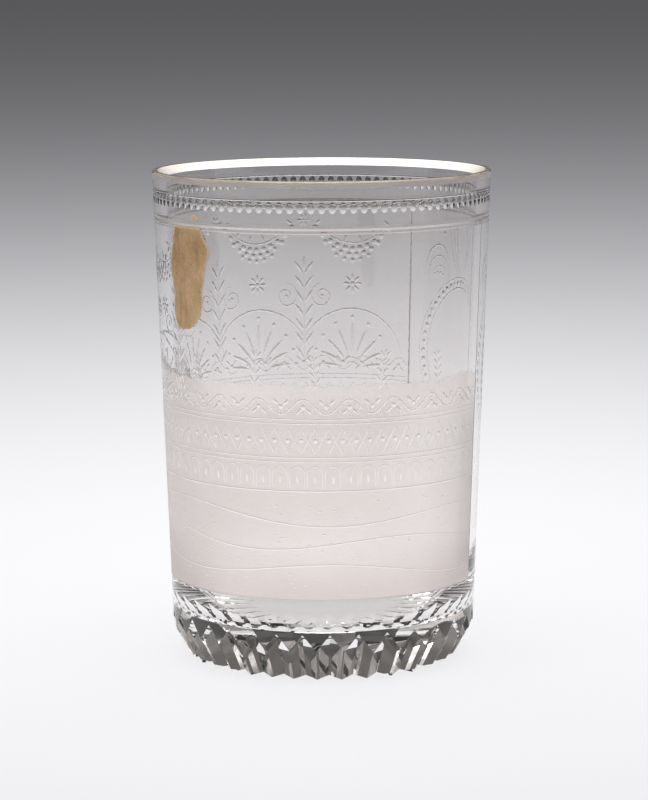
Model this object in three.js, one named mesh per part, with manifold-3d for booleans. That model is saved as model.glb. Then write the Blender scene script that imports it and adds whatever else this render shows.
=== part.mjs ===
// Cut-glass beaker: a thick tapered glass cup with a toothed foot, a ring of ball cuts under the
// rim, line-bordered panels on the wall, and the torn remains of a paper label.
// Millimetres. +Z is up, the origin is the centre of the underside, and the front faces -Y.

import * as THREE from "three";
import { mergeVertices } from "three/addons/utils/BufferGeometryUtils.js";
import Module from "manifold-3d";

const wasm = await Module();
wasm.setup();

// Cup
const HEIGHT = 113;
const RIM_RADIUS = 39;
const FOOT_LINE_RADIUS = 35.3;
const WALL = 3;
const FLOOR_HEIGHT = 10.7;
const CUP_FACETS = 72;

// Inside, the wall runs into the floor along a quarter of a tall oval
const CORNER_WIDTH = 6;
const CORNER_RISE = 18;
const CORNER_FACETS = 7;

// Rim: a flat top with an arris outside and a bevel inside
const RIM_ARRIS = 0.3;
const RIM_FLAT = 1;
const RIM_BEVEL_HEIGHT = 1.7;

// Foot: upright V notches that leave a ring of teeth
const NOTCH_COUNT = 34;
const NOTCH_TOP = 11.3;
const NOTCH_ROOT_RADIUS = 29.2;
const NOTCH_HALF_ANGLE = 60;
const NOTCH_PHASE = 3.9;

// The notches were spaced by eye: they bunch up and spread out three times in a turn
const HAND_DRIFT = 1.6;
const DRIFT_WAVES = 3;
const DRIFT_PHASE = 10;

// Underside: a shallow V cut below each notch, running inwards until it fades out
const UNDERCUT_HEIGHT = 0.9;
const UNDERCUT_INNER_RADIUS = 17;
const UNDERCUT_HALF_ANGLE = 72;

// Ring of ball cuts under the rim, joined by a fine mitre line
const BALL_COUNT = 104;
const BALL_DROP = 5.85;
const BALL_HEIGHT = 2.6;
const BALL_WIDTH = 1.75;
const BALL_DEPTH = 0.35;
const BALL_FACETS = 6;

// Lines round the wall: each is a shallow V groove at a distance below the rim
const MITRE_WIDTH = 0.45;
const BAND_DROP = 10.35;
const BAND_WIDTH = 1.05;
const PANEL_LINE_DROP = 11.4;
const PANEL_LINE_WIDTH = 0.45;
const PANEL_FOOT_HEIGHT = 19.4;
const GROOVE_SLOPE = 0.4;

// Upright panel borders, as angles round from the front, positive to the right
const PANEL_BORDERS = [69.5, 143];

// Paper label: its middle's angle, and its torn outline as distances across and below the rim
const PAPER_THICKNESS = 0.3;
const PAPER_GAP = 0.3;
const LABEL_ANGLE = -52;
const LABEL_OUTLINE = [
  [-3.9, 11.1], [-0.6, 10.9], [5.3, 11], [8.1, 16.1], [7.2, 18.4], [6.5, 20.6], [5.4, 25.1],
  [5.3, 28.9], [4.5, 31], [3.3, 32.4], [0.6, 34], [-4.2, 34.4], [-5.5, 31], [-5.4, 25.8],
  [-6.6, 21.3], [-5.9, 16.8],
];
const SCRAP_OUTLINE = [[2.4, 9.4], [4.5, 9.6], [4.9, 9], [3.9, 8.2], [2.9, 8.6]];

// How far cutting shapes run past the surface that they cut
const OVERRUN = 2;

const TAPER = (RIM_RADIUS - FOOT_LINE_RADIUS) / (HEIGHT - NOTCH_TOP);

function wallRadius(z) {
  return RIM_RADIUS - (HEIGHT - z) * TAPER;
}

function solid(geometry) {
  const bare = geometry.index ? geometry.toNonIndexed() : geometry.clone();
  bare.deleteAttribute("normal");
  bare.deleteAttribute("uv");
  const merged = mergeVertices(bare);
  const corners = merged.index.array;
  const triangles = [];
  for (let i = 0; i < corners.length; i += 3) {
    const [a, b, c] = corners.slice(i, i + 3);
    if (a !== b && b !== c && c !== a) triangles.push(a, b, c);
  }
  return new wasm.Manifold(new wasm.Mesh({
    numProp: 3,
    vertProperties: new Float32Array(merged.attributes.position.array),
    triVerts: new Uint32Array(triangles),
  }));
}

function namedMesh(name, body, material) {
  const { vertProperties, triVerts } = body.getMesh();
  const geometry = new THREE.BufferGeometry();
  geometry.setAttribute("position", new THREE.BufferAttribute(vertProperties, 3));
  geometry.setIndex(new THREE.BufferAttribute(triVerts, 1));
  geometry.computeVertexNormals();
  const mesh = new THREE.Mesh(geometry, material);
  mesh.name = name;
  return mesh;
}

function lathe(profile) {
  const points = profile.map(([radius, z]) => new THREE.Vector2(radius, z));
  return new THREE.LatheGeometry(points, CUP_FACETS).rotateX(Math.PI / 2);
}

// A V-shaped bar along +Z: its edge lies on the axis and it opens towards the front
function veeBar(halfAngle, depth, length) {
  const halfWidth = depth * Math.tan(THREE.MathUtils.degToRad(halfAngle));
  const section = new THREE.Shape([
    new THREE.Vector2(0, 0),
    new THREE.Vector2(-halfWidth, -depth),
    new THREE.Vector2(halfWidth, -depth),
  ]);
  return new THREE.ExtrudeGeometry(section, { depth: length, bevelEnabled: false });
}

// Turns a shape made at the front to an angle round the cup
function faceTo(geometry, angle) {
  return geometry.rotateZ(THREE.MathUtils.degToRad(angle));
}

function cupBlank() {
  const profile = [[0, 0], [wallRadius(0), 0]];
  profile.push([wallRadius(HEIGHT - RIM_ARRIS), HEIGHT - RIM_ARRIS]);
  profile.push([RIM_RADIUS - RIM_ARRIS, HEIGHT]);
  profile.push([RIM_RADIUS - RIM_ARRIS - RIM_FLAT, HEIGHT]);
  profile.push([wallRadius(HEIGHT - RIM_BEVEL_HEIGHT) - WALL, HEIGHT - RIM_BEVEL_HEIGHT]);
  const cornerZ = FLOOR_HEIGHT + CORNER_RISE;
  const cornerRadius = wallRadius(cornerZ) - WALL - CORNER_WIDTH;
  for (let i = 0; i <= CORNER_FACETS; i++) {
    const turn = (i / CORNER_FACETS) * (Math.PI / 2);
    profile.push([
      cornerRadius + CORNER_WIDTH * Math.cos(turn),
      cornerZ - CORNER_RISE * Math.sin(turn),
    ]);
  }
  profile.push([0, FLOOR_HEIGHT]);
  return solid(lathe(profile));
}

function notchAngles() {
  return Array.from({ length: NOTCH_COUNT }, (_, i) => {
    const even = NOTCH_PHASE + (i * 360) / NOTCH_COUNT;
    const wave = THREE.MathUtils.degToRad(DRIFT_WAVES * (even - DRIFT_PHASE));
    return even - HAND_DRIFT * Math.cos(wave);
  });
}

// The notch's root climbs from the underside out to the wall, so its bar leans outwards
const NOTCH_RUN = wallRadius(NOTCH_TOP) - NOTCH_ROOT_RADIUS;
const NOTCH_LEAN = Math.atan2(NOTCH_RUN, NOTCH_TOP);

function notchCut(angle) {
  const level = Math.tan(THREE.MathUtils.degToRad(NOTCH_HALF_ANGLE));
  const halfAngle = THREE.MathUtils.radToDeg(Math.atan(level / Math.cos(NOTCH_LEAN)));
  const length = Math.hypot(NOTCH_RUN, NOTCH_TOP) + 2 * OVERRUN;
  const bar = veeBar(halfAngle, NOTCH_RUN + OVERRUN, length).translate(0, 0, -OVERRUN);
  bar.rotateX(NOTCH_LEAN).translate(0, -NOTCH_ROOT_RADIUS, 0);
  return solid(faceTo(bar, angle));
}

function underCut(angle) {
  const mouthRadius = NOTCH_ROOT_RADIUS + UNDERCUT_HEIGHT * Math.tan(NOTCH_LEAN);
  const climb = Math.atan2(UNDERCUT_HEIGHT, mouthRadius - UNDERCUT_INNER_RADIUS);
  const length = wallRadius(0) - UNDERCUT_INNER_RADIUS + OVERRUN;
  const bar = veeBar(UNDERCUT_HALF_ANGLE, UNDERCUT_HEIGHT + OVERRUN, length);
  bar.rotateX(Math.PI / 2 - climb).translate(0, -UNDERCUT_INNER_RADIUS, 0);
  return solid(faceTo(bar, angle));
}

// A shallow ball cut: a sphere that enters the wall by the cut's depth, drawn out upwards
function ballCut(angle) {
  const halfWidth = BALL_WIDTH / 2;
  const radius = (halfWidth * halfWidth + BALL_DEPTH * BALL_DEPTH) / (2 * BALL_DEPTH);
  const z = HEIGHT - BALL_DROP;
  const ball = new THREE.SphereGeometry(radius, BALL_FACETS, BALL_FACETS / 2);
  ball.scale(1, 1, BALL_HEIGHT / BALL_WIDTH);
  ball.translate(0, BALL_DEPTH - radius - wallRadius(z), z);
  return solid(faceTo(ball, angle));
}

// A V groove all round the wall, cut by a ring with a sharp inner edge
function ringGroove(z, width) {
  const edge = wallRadius(z) - (width / 2) * GROOVE_SLOPE;
  const back = edge + OVERRUN;
  const spread = OVERRUN / GROOVE_SLOPE;
  return solid(lathe([[edge, z], [back, z - spread], [back, z + spread], [edge, z]]));
}

// A V groove up the wall, from the panel's foot line to its top line
function borderGroove(angle) {
  const low = PANEL_FOOT_HEIGHT;
  const high = HEIGHT - PANEL_LINE_DROP;
  const depth = (PANEL_LINE_WIDTH / 2) * GROOVE_SLOPE;
  const halfAngle = 90 - THREE.MathUtils.radToDeg(Math.atan(GROOVE_SLOPE));
  const bar = veeBar(halfAngle, depth + OVERRUN, high - low);
  bar.rotateX(Math.atan(TAPER)).translate(0, depth - wallRadius(low), low);
  return solid(faceTo(bar, angle));
}

function cutGlass() {
  const cuts = notchAngles().flatMap((angle) => [notchCut(angle), underCut(angle)]);
  for (let i = 0; i < BALL_COUNT; i++) {
    cuts.push(ballCut((i * 360) / BALL_COUNT));
  }
  cuts.push(ringGroove(HEIGHT - BALL_DROP, MITRE_WIDTH));
  cuts.push(ringGroove(HEIGHT - BAND_DROP, BAND_WIDTH));
  cuts.push(ringGroove(HEIGHT - PANEL_LINE_DROP, PANEL_LINE_WIDTH));
  cuts.push(ringGroove(PANEL_FOOT_HEIGHT, PANEL_LINE_WIDTH));
  cuts.push(...PANEL_BORDERS.map(borderGroove));
  return wasm.Manifold.difference([cupBlank(), ...cuts]);
}

// A piece of paper: a thin shell round the wall, cut to an outline that is seen square on
function paper(outline) {
  const drops = outline.map(([, drop]) => drop);
  const low = HEIGHT - Math.max(...drops) - OVERRUN;
  const high = HEIGHT - Math.min(...drops) + OVERRUN;
  const inside = (z) => wallRadius(z) + PAPER_GAP;
  const outside = (z) => inside(z) + PAPER_THICKNESS;
  const shell = solid(lathe([
    [inside(low), low],
    [outside(low), low],
    [outside(high), high],
    [inside(high), high],
    [inside(low), low],
  ]));
  const corners = outline.map(([across, drop]) => new THREE.Vector2(across, HEIGHT - drop));
  const shape = new THREE.Shape(corners);
  const punch = new THREE.ExtrudeGeometry(shape, { depth: 2 * RIM_RADIUS, bevelEnabled: false });
  return shell.intersect(solid(faceTo(punch.rotateX(Math.PI / 2), LABEL_ANGLE)));
}

const clearGlass = new THREE.MeshStandardMaterial({
  color: 0xece6e4,
  roughness: 0.05,
  metalness: 0,
  transparent: true,
  opacity: 0.35,
});
const agedPaper = new THREE.MeshStandardMaterial({ color: 0xb9935f, roughness: 0.9, metalness: 0 });
const palePaper = new THREE.MeshStandardMaterial({ color: 0xd8c6a4, roughness: 0.9, metalness: 0 });

const beaker = new THREE.Group();
beaker.add(namedMesh("beaker_glass", cutGlass(), clearGlass));
beaker.add(namedMesh("paper_label", paper(LABEL_OUTLINE), agedPaper));
beaker.add(namedMesh("label_scrap", paper(SCRAP_OUTLINE), palePaper));

export default beaker;
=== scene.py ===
"""A cut and engraved glass beaker with the torn remains of a paper label, in a pale studio."""

import itertools
import random
from functools import partial
from math import atan, atan2, ceil, cos, degrees, hypot, pi, radians, sin, sqrt, tan, tau

import bmesh
import bpy
import numpy as np
from mathutils import Matrix, Vector, noise
from mathutils.geometry import delaunay_2d_cdt

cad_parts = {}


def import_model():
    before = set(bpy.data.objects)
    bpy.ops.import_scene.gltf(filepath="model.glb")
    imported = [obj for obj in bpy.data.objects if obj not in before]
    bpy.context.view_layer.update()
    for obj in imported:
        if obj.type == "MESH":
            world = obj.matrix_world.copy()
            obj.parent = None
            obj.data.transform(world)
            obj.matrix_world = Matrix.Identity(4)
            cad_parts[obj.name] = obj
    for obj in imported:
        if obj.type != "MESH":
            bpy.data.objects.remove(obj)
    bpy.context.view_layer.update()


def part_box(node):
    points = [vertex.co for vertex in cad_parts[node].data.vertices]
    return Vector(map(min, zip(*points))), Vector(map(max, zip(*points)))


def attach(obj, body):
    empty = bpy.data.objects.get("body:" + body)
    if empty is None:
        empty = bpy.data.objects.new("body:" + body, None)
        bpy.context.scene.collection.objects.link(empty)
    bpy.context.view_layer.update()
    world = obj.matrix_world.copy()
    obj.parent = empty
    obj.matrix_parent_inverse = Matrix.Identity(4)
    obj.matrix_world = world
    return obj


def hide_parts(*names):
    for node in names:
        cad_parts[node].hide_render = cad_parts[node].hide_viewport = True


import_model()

MM = 0.001

# Cup, as the solids have it
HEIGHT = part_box("beaker_glass")[1].z
RIM_RADIUS = 39 * MM
FOOT_LINE_RADIUS = 35.3 * MM
WALL = 3 * MM
FLOOR_HEIGHT = 10.7 * MM
CORNER_WIDTH = 6 * MM
CORNER_RISE = 18 * MM
RIM_ARRIS = 0.3 * MM
RIM_FLAT = 1 * MM
RIM_BEVEL_HEIGHT = 1.7 * MM
CUP_STEPS = 240
WALL_RINGS = 20
CORNER_RINGS = 18

# Foot notches and the short cuts below them
NOTCH_COUNT = 34
NOTCH_TOP = 11.3 * MM
NOTCH_ROOT_RADIUS = 29.2 * MM
NOTCH_HALF_ANGLE = radians(60)
NOTCH_PHASE = radians(3.9)
HAND_DRIFT = radians(1.6)
DRIFT_WAVES = 3
DRIFT_PHASE = radians(10)
UNDERCUT_HEIGHT = 0.9 * MM
UNDERCUT_INNER_RADIUS = 17 * MM
UNDERCUT_HALF_ANGLE = radians(72)

# Ball cuts and lines: a drop is a distance below the rim, and the panel's borders are angles in degrees
BALL_COUNT = 104
BALL_DROP = 5.85 * MM
BALL_HEIGHT = 2.6 * MM
BALL_WIDTH = 1.75 * MM
BALL_DEPTH = 0.35 * MM
MITRE_WIDTH = 0.45 * MM
UPPER_LINE_DROP = 4.3 * MM
FINE_LINE_WIDTH = 0.3 * MM
BAND_DROP = 10.35 * MM
BAND_WIDTH = 1.05 * MM
PANEL_LINE_DROP = 11.4 * MM
PANEL_LINE_WIDTH = 0.45 * MM
PANEL_FOOT_HEIGHT = 19.4 * MM
GROOVE_SLOPE = 0.4
PANEL_BORDERS = (69.5, 143)

# Frosted ground, drawn flat in mm: across the wall from the front's middle, and up. Its upper edge
# rises to the left and falls to the back, by degrees round from the front.
ROLL_RADIUS = 37.2
FROST_DEPTH = 0.04
FROST_TOP = 67.5
FROST_ROWS = 14
RISE_FROM = -70
RISE_SLOPE = 0.12
FALL_FROM = -100
FALL_SPAN = 30
FALL_HEIGHT = 19
SCALLOP_HEIGHT = 0.7
SCALLOP_WAVES = 24

# Engraving, drawn flat in the same way: the slope of a line's sides and how far its cutter stands out,
# the depths of leaf and dot cuts as shares of their width, and how much of it all the clear glass has
CUT_SLOPE = 0.32
CUT_RISE = 0.25
LEAF_DEPTH = 0.17
DOT_DEPTH = 0.15
CLEAR_SHARE = 0.42

# Ornament of the engraving: heights and sizes in mm, angles in degrees
FRIEZE_FOOT = 60
FIRST_FAN = -192
FAN_STEP = 38
FAN_COUNT = 4
FAN_SIZE = 12.4
SPRIG_LENGTH = 24
GARLAND_HEIGHT = 98.6
GARLAND_SAG = 6.2
SCROLL_HEIGHT = 63.2
LOZENGE_HEIGHT = 55.6
RULE_HEIGHTS = (60.4, 59.4, 51.8, 50.8)
ARCADE_FOOT = 45
WAVE_HEIGHTS = (39, 33.2, 27)
NICK_COUNT = 110
SIDE_ANGLE = 107.75
OVAL_MIDDLE = 67.5
BEAD_COUNT = 53
LOOP_FOOT = 85.6
LOOP_BEAD_HEIGHT = 83.4
TAIL_TOP = 100.6

# Sprigs on the front, each with its degrees round the beaker, its lean in radians and its length
FRONT_SPRIGS = ((-46, 0.2, 6), (-24, -0.1, 7.5), (-2, 0.12, 6.5), (20, -0.15, 7.5), (44, 0.1, 6.5))

# Paper label and its scrap: outlines across from their middle and down from the rim, in mm
PAPER_GAP = 0.08 * MM
PAPER_THICKNESS = 0.16 * MM
TEAR_SPACING = 0.45
LABEL_ANGLE = radians(-52)
LABEL_OUTLINE = [
    (-3.9, 11.1), (-0.6, 10.9), (5.3, 11), (8.1, 16.1), (7.2, 18.4), (6.5, 20.6), (5.4, 25.1), (5.3, 28.9),
    (4.5, 31), (3.3, 32.4), (0.6, 34), (-4.2, 34.4), (-5.5, 31), (-5.4, 25.8), (-6.6, 21.3), (-5.9, 16.8),
]
SCRAP_OUTLINE = [(2.4, 9.4), (4.5, 9.6), (4.9, 9), (3.9, 8.2), (2.9, 8.6)]

# How far a cutting shape runs past the glass
OVERRUN = 2 * MM

# Camera, where the photograph was taken from
CAMERA_DISTANCE = 682 * MM
CAMERA_HEIGHT = 162.5 * MM
CAMERA_PITCH = radians(8.613)
CAMERA_ROLL = radians(-0.244)
CAMERA_TURN = radians(0.031)
CAMERA_LENS = 133.36

# Table: the pool of light on it, in metres, and how much of its tone it shows by itself
FLOOR_RADIUS = 14
POOL_MIDDLE = 0.1
POOL_REACH = 0.71
POOL_FALL = 1.81
POOL_FRONT_LIMIT = 0.36
POOL_BACK_SLOPE = 40
POOL_DARK = 0.1
POOL_RISE = 0.84
TABLE_GLOW = 0.85

# Studio brightness from the horizon, 0, to overhead, 1: dark walls under a pale ceiling
WORLD_STOPS = [
    (0.0, (0.04, 0.036, 0.032, 1)),
    (0.14, (0.055, 0.052, 0.05, 1)),
    (0.22, (0.085, 0.078, 0.071, 1)),
    (0.45, (0.12, 0.111, 0.102, 1)),
    (0.62, (0.25, 0.237, 0.222, 1)),
    (0.8, (0.75, 0.75, 0.74, 1)),
]

# The plain soft light, and how much brighter it and the studio get towards the camera's side
SOFT_LIGHT = 0.5
SOFT_GAIN = 1.15
FRONT_GAIN = 3

TAPER = (RIM_RADIUS - FOOT_LINE_RADIUS) / (HEIGHT - NOTCH_TOP)


def wall_radius(z):
    return RIM_RADIUS - (HEIGHT - z) * TAPER


def polar(u, v, reach, angle):
    return u + reach * cos(angle), v + reach * sin(angle)


def new_object(name, data):
    made = bpy.data.objects.new(name, data)
    bpy.context.scene.collection.objects.link(made)
    return made


def mesh_from(name, points, faces):
    mesh = bpy.data.meshes.new(name)
    mesh.from_pydata(points, [], faces)
    mesh.validate()
    return mesh


def closed_mesh(name, points, faces):
    """A closed mesh whose faces all look outwards."""
    mesh = mesh_from(name, points, faces)
    shape = bmesh.new()
    shape.from_mesh(mesh)
    bmesh.ops.recalc_face_normals(shape, faces=shape.faces)
    shape.to_mesh(mesh)
    shape.free()
    return mesh


# Node trees

def new_tree(name, kind, inputs, outputs):
    """A node group. Each entry for its sockets holds their kind, and then their labels."""
    tree = bpy.data.node_groups.new(name, kind)
    for side, entries in (("INPUT", inputs), ("OUTPUT", outputs)):
        for socket, *labels in entries:
            for label in labels:
                tree.interface.new_socket(label, in_out=side, socket_type="NodeSocket" + socket)
    return tree, tree.nodes.new("NodeGroupInput").outputs, tree.nodes.new("NodeGroupOutput").inputs


def new_node(tree, kind, sockets=None, **settings):
    """Adds a node. Each of its sockets takes a value, or the output that it is linked from."""
    made = tree.nodes.new(kind)
    for name, value in settings.items():
        setattr(made, name, value)
    for name, value in (sockets or {}).items():
        if isinstance(value, bpy.types.NodeSocket):
            tree.links.new(value, made.inputs[name])
        else:
            made.inputs[name].default_value = value
    return made


def add(tree, kind, sockets=None, **settings):
    """Adds a node and gives its first output."""
    return new_node(tree, kind, sockets, **settings).outputs[0]


def calc(tree, operation, *values, kind="ShaderNodeMath"):
    return add(tree, kind, dict(enumerate(values)), operation=operation)


def cut_tree(name, *tools):
    """A node group that takes the glass, its own tools and a finish, and gives the glass back."""
    inputs = [("Geometry", "Glass"), *tools, ("Material", "Finish")]
    return new_tree(name, "GeometryNodeTree", inputs, [("Geometry", "Glass")])


def freshness(tree, shapes, fresh):
    """Notes on the faces whether they belong to the cutter of this cut."""
    return add(tree, "GeometryNodeStoreNamedAttribute", {
        "Geometry": shapes, "Name": "fresh", "Value": fresh,
    }, data_type="BOOLEAN", domain="FACE")


def noted(tree, name, kind):
    return add(tree, "GeometryNodeInputNamedAttribute", {"Name": name}, data_type=kind)


def shape_of(tree, thing):
    return new_node(tree, "GeometryNodeObjectInfo", {"Object": thing}).outputs["Geometry"]


def cut_and_finish(tree, given, cutters, result, in_triangles=False):
    """Cuts the placed cutters out of the glass and gives the fresh faces their finish."""
    glass = freshness(tree, given["Glass"], False)
    if in_triangles:
        glass = add(tree, "GeometryNodeTriangulate", {0: glass})
        cutters = add(tree, "GeometryNodeTriangulate", {0: cutters})
    cut = add(tree, "GeometryNodeMeshBoolean", {"Mesh 1": glass, "Mesh 2": cutters},
              operation="DIFFERENCE", solver="MANIFOLD")
    done = add(tree, "GeometryNodeSetMaterial", {
        "Geometry": add(tree, "GeometryNodeRealizeInstances", {"Geometry": cut}),
        "Selection": noted(tree, "fresh", "BOOLEAN"),
        "Material": given["Finish"],
    })
    tree.links.new(done, result["Glass"])


def ring_cut_tree():
    """Cuts one shape into the glass again and again round the axis, as on a cutter's marked ring."""
    tree, given, result = cut_tree("ring_cut", ("Object", "Cutter"), ("Int", "Count"), (
        "Float", "First Angle", "Drift", "Drift Waves", "Drift Angle",
    ))
    step = calc(tree, "DIVIDE", tau, given["Count"])
    index = add(tree, "GeometryNodeInputIndex")
    even = calc(tree, "MULTIPLY_ADD", index, step, given["First Angle"])
    phase = calc(tree, "SUBTRACT", even, given["Drift Angle"])
    wave = calc(tree, "COSINE", calc(tree, "MULTIPLY", phase, given["Drift Waves"]))
    angle = calc(tree, "SUBTRACT", even, calc(tree, "MULTIPLY", wave, given["Drift"]))
    placed = add(tree, "GeometryNodeInstanceOnPoints", {
        "Points": add(tree, "GeometryNodePoints", {"Count": given["Count"]}),
        "Instance": freshness(tree, shape_of(tree, given["Cutter"]), True),
        "Rotation": add(tree, "ShaderNodeCombineXYZ", {"Z": angle}),
    })
    cut_and_finish(tree, given, placed, result)
    return tree


WALL_SIZES = ("Roll Radius", "Rim Radius", "Rim Height", "Taper")


def roll_tree():
    """Rolls shapes that are drawn flat onto the wall, and parts them into instances, one each."""
    tree, given, result = new_tree("roll_onto_wall", "GeometryNodeTree", [
        ("Geometry", "Shapes"), ("Float", *WALL_SIZES),
    ], [("Geometry", "Cutters")])
    place = add(tree, "GeometryNodeInputPosition")
    flat = new_node(tree, "ShaderNodeSeparateXYZ", {0: place}).outputs
    angle = calc(tree, "DIVIDE", flat["X"], given["Roll Radius"])
    drop = calc(tree, "SUBTRACT", given["Rim Height"], flat["Y"])
    inset = calc(tree, "MULTIPLY", drop, given["Taper"])
    wall = calc(tree, "SUBTRACT", given["Rim Radius"], inset)
    radius = calc(tree, "ADD", wall, flat["Z"])
    ahead = calc(tree, "MULTIPLY", radius, calc(tree, "COSINE", angle))
    round_place = add(tree, "ShaderNodeCombineXYZ", {
        "X": calc(tree, "MULTIPLY", radius, calc(tree, "SINE", angle)),
        "Y": calc(tree, "MULTIPLY", ahead, -1),
        "Z": flat["Y"],
    })
    rolled = add(tree, "GeometryNodeSetPosition", {"Geometry": given["Shapes"], "Position": round_place})
    parted = add(tree, "GeometryNodeSplitToInstances", {
        "Geometry": rolled, "Group ID": add(tree, "GeometryNodeInputMeshIsland"),
    }, domain="FACE")
    tree.links.new(parted, result["Cutters"])
    return tree


def rolled_cutters(tree, roll, given, shapes):
    cutters = add(tree, "GeometryNodeGroup", {
        "Shapes": shapes, **{name: given[name] for name in WALL_SIZES},
    }, node_tree=roll)
    return freshness(tree, cutters, True)


def ground_tree(roll):
    """Grinds a shallow ground into the wall, from a block drawn flat."""
    tree, given, result = cut_tree("ground", ("Object", "Block"), ("Float", *WALL_SIZES))
    cutters = rolled_cutters(tree, roll, given, shape_of(tree, given["Block"]))
    cut_and_finish(tree, given, cutters, result)
    return tree


def engraving_tree(roll):
    """Engraves lines and small shapes that are drawn flat.

    A line follows a curve, and the curve's radius is its width. The clear glass has flatter lines than
    the frosted ground. A small shape stands at each point, turned and sized by the point's own values.
    """
    tree, given, result = cut_tree("engraving", (
        "Object", "Ground Lines", "Ground Section", "Clear Lines", "Clear Section",
        "Leaf Places", "Leaf", "Dot Places", "Dot",
    ), ("Float", *WALL_SIZES))
    joined = new_node(tree, "GeometryNodeJoinGeometry")
    width = add(tree, "GeometryNodeInputRadius")
    for name in ("Ground", "Clear"):
        curves = shape_of(tree, given[name + " Lines"])
        bars = add(tree, "GeometryNodeCurveToMesh", {
            "Curve": add(tree, "GeometryNodeSetCurveNormal", {"Curve": curves}, mode="Z_UP"),
            "Profile Curve": shape_of(tree, given[name + " Section"]),
            "Scale": width,
            "Fill Caps": True,
        })
        tree.links.new(bars, joined.inputs[0])
    turn = add(tree, "ShaderNodeCombineXYZ", {"Z": noted(tree, "turn", "FLOAT")})
    size = noted(tree, "size", "FLOAT_VECTOR")
    for name in ("Leaf", "Dot"):
        placed = add(tree, "GeometryNodeInstanceOnPoints", {
            "Points": shape_of(tree, given[name + " Places"]),
            "Instance": shape_of(tree, given[name]),
            "Rotation": turn,
            "Scale": size,
        })
        tree.links.new(placed, joined.inputs[0])
    real = add(tree, "GeometryNodeRealizeInstances", {"Geometry": joined.outputs[0]})
    cutters = rolled_cutters(tree, roll, given, real)
    cut_and_finish(tree, given, cutters, result, in_triangles=True)
    return tree


# Glass blank

BEVEL_RADIUS = RIM_RADIUS - RIM_ARRIS - RIM_FLAT
CORNER_HEIGHT = FLOOR_HEIGHT + CORNER_RISE
CORNER_MIDDLE = wall_radius(CORNER_HEIGHT) - WALL - CORNER_WIDTH


def cup_profile():
    """Radius and height points from the underside's middle round to the floor's middle."""
    points = [(0, 0)]
    for i in range(WALL_RINGS + 1):
        z = (HEIGHT - RIM_ARRIS) * i / WALL_RINGS
        points.append((wall_radius(z), z))
    points.append((RIM_RADIUS - RIM_ARRIS, HEIGHT))
    points.append((BEVEL_RADIUS, HEIGHT))
    bevel_foot = HEIGHT - RIM_BEVEL_HEIGHT
    points.append((wall_radius(bevel_foot) - WALL, bevel_foot))
    for i in range(CORNER_RINGS + 1):
        turn = pi / 2 * i / CORNER_RINGS
        points.append((CORNER_MIDDLE + CORNER_WIDTH * cos(turn), CORNER_HEIGHT - CORNER_RISE * sin(turn)))
    points.append((0, FLOOR_HEIGHT))
    return points


def lathe(name, profile, closed_ring=False):
    """Turns radius and height points round the axis. An open profile starts and ends on it."""
    rings, points = [], []
    for radius, z in profile:
        if radius == 0:
            rings.append([len(points)] * CUP_STEPS)
            points.append((0, 0, z))
            continue
        rings.append(range(len(points), len(points) + CUP_STEPS))
        points += [(*polar(0, 0, radius, tau * i / CUP_STEPS), z) for i in range(CUP_STEPS)]
    pairs = list(zip(rings, rings[1:]))
    if closed_ring:
        pairs.append((rings[-1], rings[0]))
    faces = []
    for low, high in pairs:
        for i in range(CUP_STEPS):
            j = (i + 1) % CUP_STEPS
            faces.append(list(dict.fromkeys([low[i], low[j], high[j], high[i]])))
    return (closed_mesh if closed_ring else mesh_from)(name, points, faces)


# Cutting shapes: each is made at the front, where the wall faces -Y

def vee_bar(name, half_angle, depth, length, lean, place):
    """A long V-shaped bar. Its edge starts at the place and leans from upright towards the front."""
    half = depth * tan(half_angle)
    section = [(0, 0), (half, -depth), (-half, -depth)]
    turn = Matrix.Rotation(lean, 3, "X")
    points = [turn @ Vector((x, y, z)) + Vector(place) for z in (0, length) for x, y in section]
    faces = [(0, 1, 2), (5, 4, 3), (0, 3, 4, 1), (1, 4, 5, 2), (2, 5, 3, 0)]
    return closed_mesh(name, points, faces)


NOTCH_RUN = wall_radius(NOTCH_TOP) - NOTCH_ROOT_RADIUS
NOTCH_LEAN = atan2(NOTCH_RUN, NOTCH_TOP)


def notch_cutter():
    half_angle = atan(tan(NOTCH_HALF_ANGLE) / cos(NOTCH_LEAN))
    below = OVERRUN * cos(NOTCH_LEAN)
    inwards = OVERRUN * sin(NOTCH_LEAN)
    length = hypot(NOTCH_RUN, NOTCH_TOP) + 2 * OVERRUN
    return vee_bar("notch_cutter", half_angle, NOTCH_RUN + OVERRUN, length, NOTCH_LEAN,
                   (0, inwards - NOTCH_ROOT_RADIUS, -below))


def undercut_cutter():
    mouth = NOTCH_ROOT_RADIUS + UNDERCUT_HEIGHT * tan(NOTCH_LEAN)
    climb = atan2(UNDERCUT_HEIGHT, mouth - UNDERCUT_INNER_RADIUS)
    length = wall_radius(0) - UNDERCUT_INNER_RADIUS + OVERRUN
    return vee_bar("undercut_cutter", UNDERCUT_HALF_ANGLE, UNDERCUT_HEIGHT + OVERRUN, length,
                   pi / 2 - climb, (0, -UNDERCUT_INNER_RADIUS, 0))


def border_cutter():
    low, high = PANEL_FOOT_HEIGHT, HEIGHT - PANEL_LINE_DROP
    depth = PANEL_LINE_WIDTH / 2 * GROOVE_SLOPE
    return vee_bar("border_cutter", pi / 2 - atan(GROOVE_SLOPE), depth + OVERRUN,
                   high - low, atan(TAPER), (0, depth - wall_radius(low), low))


BALL_RADIUS = ((BALL_WIDTH / 2) ** 2 + BALL_DEPTH ** 2) / (2 * BALL_DEPTH)
BALL_STRETCH = BALL_HEIGHT / BALL_WIDTH


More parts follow.
